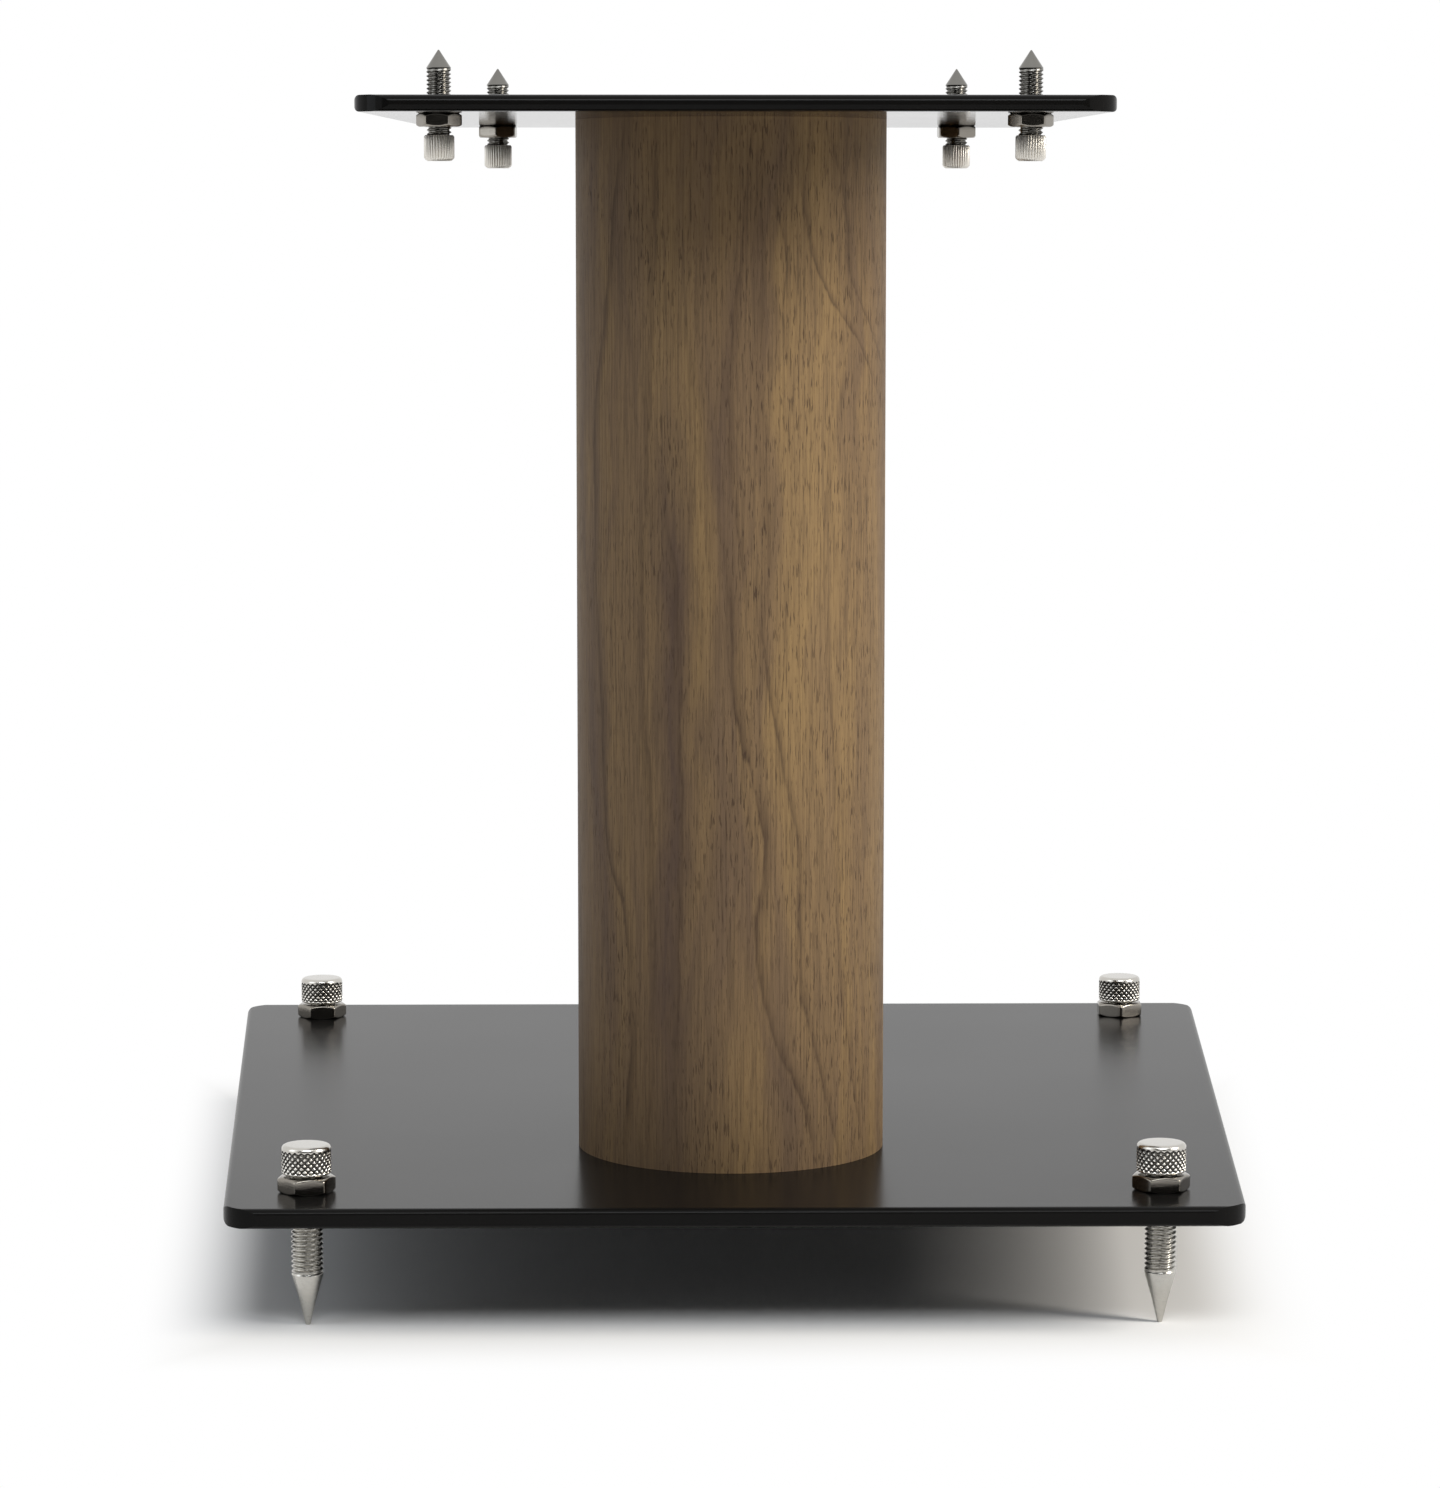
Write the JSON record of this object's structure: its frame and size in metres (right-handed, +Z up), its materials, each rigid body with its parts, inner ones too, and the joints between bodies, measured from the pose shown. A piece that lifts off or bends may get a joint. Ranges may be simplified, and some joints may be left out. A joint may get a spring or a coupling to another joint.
{
  "type": "speaker stand",
  "caption": "Low loudspeaker stand: round veneered column between two gloss black plates, with adjustable spikes under the base and standing up from the top plate.",
  "frame": {"origin": "on the floor, at the middle of the stand's bounding box seen from above", "axes": "+Z up; the front of the stand faces -Y; +X is to the right seen from the front"},
  "size_m": [0.2916, 0.306, 0.3163],
  "materials": {
    "gloss_black": "gloss",
    "walnut_veneer": "satin",
    "core_board": "matte",
    "brass": "machined",
    "zinc_steel": "satin",
    "bright_steel": "satin",
    "satin_nickel": "satin",
    "dark_nickel": "polished"
  },
  "bodies": {
    "stand": {"base_plate": "gloss_black", "top_plate": "gloss_black", "column_tube": "core_board", "column_veneer": "walnut_veneer", "top_plug": "core_board", "bottom_plug": "core_board", "top_inserts": "brass", "bottom_inserts": "brass", "top_plate_screws": "zinc_steel", "base_plate_screws": "zinc_steel"},
    "floor_spike_front_left": {"floor_spike_front_left": "bright_steel"},
    "adjuster_cap_front_left": {"adjuster_cap_front_left": "satin_nickel"},
    "base_locknut_front_left": {"base_locknut_front_left": "dark_nickel"},
    "floor_spike_front_right": {"floor_spike_front_right": "bright_steel"},
    "adjuster_cap_front_right": {"adjuster_cap_front_right": "satin_nickel"},
    "base_locknut_front_right": {"base_locknut_front_right": "dark_nickel"},
    "floor_spike_rear_left": {"floor_spike_rear_left": "bright_steel"},
    "adjuster_cap_rear_left": {"adjuster_cap_rear_left": "satin_nickel"},
    "base_locknut_rear_left": {"base_locknut_rear_left": "dark_nickel"},
    "floor_spike_rear_right": {"floor_spike_rear_right": "bright_steel"},
    "adjuster_cap_rear_right": {"adjuster_cap_rear_right": "satin_nickel"},
    "base_locknut_rear_right": {"base_locknut_rear_right": "dark_nickel"},
    "top_spike_front_left": {"top_spike_front_left": "bright_steel"},
    "knurled_head_front_left": {"knurled_head_front_left": "satin_nickel"},
    "top_locknut_front_left": {"top_locknut_front_left": "dark_nickel"},
    "top_spike_front_right": {"top_spike_front_right": "bright_steel"},
    "knurled_head_front_right": {"knurled_head_front_right": "satin_nickel"},
    "top_locknut_front_right": {"top_locknut_front_right": "dark_nickel"},
    "top_spike_rear_left": {"top_spike_rear_left": "bright_steel"},
    "knurled_head_rear_left": {"knurled_head_rear_left": "satin_nickel"},
    "top_locknut_rear_left": {"top_locknut_rear_left": "dark_nickel"},
    "top_spike_rear_right": {"top_spike_rear_right": "bright_steel"},
    "knurled_head_rear_right": {"knurled_head_rear_right": "satin_nickel"},
    "top_locknut_rear_right": {"top_locknut_rear_right": "dark_nickel"}
  },
  "joints": [
    {"name": "floor_spike_front_left_height", "type": "slide", "parent": "stand", "child": "floor_spike_front_left", "axis": [0, 0, 1], "range_m": [-0.0002, 0.01]},
    {"name": "adjuster_cap_front_left_turn", "type": "hinge", "parent": "floor_spike_front_left", "child": "adjuster_cap_front_left", "pos_m": [-0.107, -0.125, 0.042], "axis": [0, 0, 1], "range_deg": [-60, 2900]},
    {"name": "base_locknut_front_left_turn", "type": "hinge", "parent": "stand", "child": "base_locknut_front_left", "pos_m": [-0.107, -0.125, 0.036], "axis": [0, 0, 1], "range_deg": [0, 90]},
    {"name": "floor_spike_front_right_height", "type": "slide", "parent": "stand", "child": "floor_spike_front_right", "axis": [0, 0, 1], "range_m": [-0.0002, 0.01]},
    {"name": "adjuster_cap_front_right_turn", "type": "hinge", "parent": "floor_spike_front_right", "child": "adjuster_cap_front_right", "pos_m": [0.107, -0.125, 0.042], "axis": [0, 0, 1], "range_deg": [-60, 2900]},
    {"name": "base_locknut_front_right_turn", "type": "hinge", "parent": "stand", "child": "base_locknut_front_right", "pos_m": [0.107, -0.125, 0.036], "axis": [0, 0, 1], "range_deg": [0, 90]},
    {"name": "floor_spike_rear_left_height", "type": "slide", "parent": "stand", "child": "floor_spike_rear_left", "axis": [0, 0, 1], "range_m": [-0.0002, 0.01]},
    {"name": "adjuster_cap_rear_left_turn", "type": "hinge", "parent": "floor_spike_rear_left", "child": "adjuster_cap_rear_left", "pos_m": [-0.122, 0.131, 0.042], "axis": [0, 0, 1], "range_deg": [-60, 2900]},
    {"name": "base_locknut_rear_left_turn", "type": "hinge", "parent": "stand", "child": "base_locknut_rear_left", "pos_m": [-0.122, 0.131, 0.036], "axis": [0, 0, 1], "range_deg": [0, 90]},
    {"name": "floor_spike_rear_right_height", "type": "slide", "parent": "stand", "child": "floor_spike_rear_right", "axis": [0, 0, 1], "range_m": [-0.0002, 0.01]},
    {"name": "adjuster_cap_rear_right_turn", "type": "hinge", "parent": "floor_spike_rear_right", "child": "adjuster_cap_rear_right", "pos_m": [0.122, 0.131, 0.042], "axis": [0, 0, 1], "range_deg": [-60, 2900]},
    {"name": "base_locknut_rear_right_turn", "type": "hinge", "parent": "stand", "child": "base_locknut_rear_right", "pos_m": [0.122, 0.131, 0.036], "axis": [0, 0, 1], "range_deg": [0, 90]},
    {"name": "top_spike_front_left_height", "type": "slide", "parent": "stand", "child": "top_spike_front_left", "axis": [0, 0, 1], "range_m": [-0.01, 0.0017]},
    {"name": "knurled_head_front_left_turn", "type": "hinge", "parent": "top_spike_front_left", "child": "knurled_head_front_left", "pos_m": [-0.07181, -0.131, 0.293], "axis": [0, 0, 1], "range_deg": [-3620, 620]},
    {"name": "top_locknut_front_left_turn", "type": "hinge", "parent": "stand", "child": "top_locknut_front_left", "pos_m": [-0.07181, -0.131, 0.2994], "axis": [0, 0, 1], "range_deg": [-90, 0]},
    {"name": "top_spike_front_right_height", "type": "slide", "parent": "stand", "child": "top_spike_front_right", "axis": [0, 0, 1], "range_m": [-0.01, 0.0017]},
    {"name": "knurled_head_front_right_turn", "type": "hinge", "parent": "top_spike_front_right", "child": "knurled_head_front_right", "pos_m": [0.07181, -0.131, 0.293], "axis": [0, 0, 1], "range_deg": [-3620, 620]},
    {"name": "top_locknut_front_right_turn", "type": "hinge", "parent": "stand", "child": "top_locknut_front_right", "pos_m": [0.07181, -0.131, 0.2994], "axis": [0, 0, 1], "range_deg": [-90, 0]},
    {"name": "top_spike_rear_left_height", "type": "slide", "parent": "stand", "child": "top_spike_rear_left", "axis": [0, 0, 1], "range_m": [-0.01, 0.0017]},
    {"name": "knurled_head_rear_left_turn", "type": "hinge", "parent": "top_spike_rear_left", "child": "knurled_head_rear_left", "pos_m": [-0.06219, 0.001, 0.293], "axis": [0, 0, 1], "range_deg": [-3620, 620]},
    {"name": "top_locknut_rear_left_turn", "type": "hinge", "parent": "stand", "child": "top_locknut_rear_left", "pos_m": [-0.06219, 0.001, 0.2994], "axis": [0, 0, 1], "range_deg": [-90, 0]},
    {"name": "top_spike_rear_right_height", "type": "slide", "parent": "stand", "child": "top_spike_rear_right", "axis": [0, 0, 1], "range_m": [-0.01, 0.0017]},
    {"name": "knurled_head_rear_right_turn", "type": "hinge", "parent": "top_spike_rear_right", "child": "knurled_head_rear_right", "pos_m": [0.06219, 0.001, 0.293], "axis": [0, 0, 1], "range_deg": [-3620, 620]},
    {"name": "top_locknut_rear_right_turn", "type": "hinge", "parent": "stand", "child": "top_locknut_rear_right", "pos_m": [0.06219, 0.001, 0.2994], "axis": [0, 0, 1], "range_deg": [-90, 0]}
  ],
  "couplings": [
    {"joint": "adjuster_cap_front_left_turn", "follows": "floor_spike_front_left_height", "rad_per_m": 5026.5},
    {"joint": "adjuster_cap_front_right_turn", "follows": "floor_spike_front_right_height", "rad_per_m": 5026.5},
    {"joint": "adjuster_cap_rear_left_turn", "follows": "floor_spike_rear_left_height", "rad_per_m": 5026.5},
    {"joint": "adjuster_cap_rear_right_turn", "follows": "floor_spike_rear_right_height", "rad_per_m": 5026.5},
    {"joint": "knurled_head_front_left_turn", "follows": "top_spike_front_left_height", "rad_per_m": 6283.2},
    {"joint": "knurled_head_front_right_turn", "follows": "top_spike_front_right_height", "rad_per_m": 6283.2},
    {"joint": "knurled_head_rear_left_turn", "follows": "top_spike_rear_left_height", "rad_per_m": 6283.2},
    {"joint": "knurled_head_rear_right_turn", "follows": "top_spike_rear_right_height", "rad_per_m": 6283.2}
  ]
}
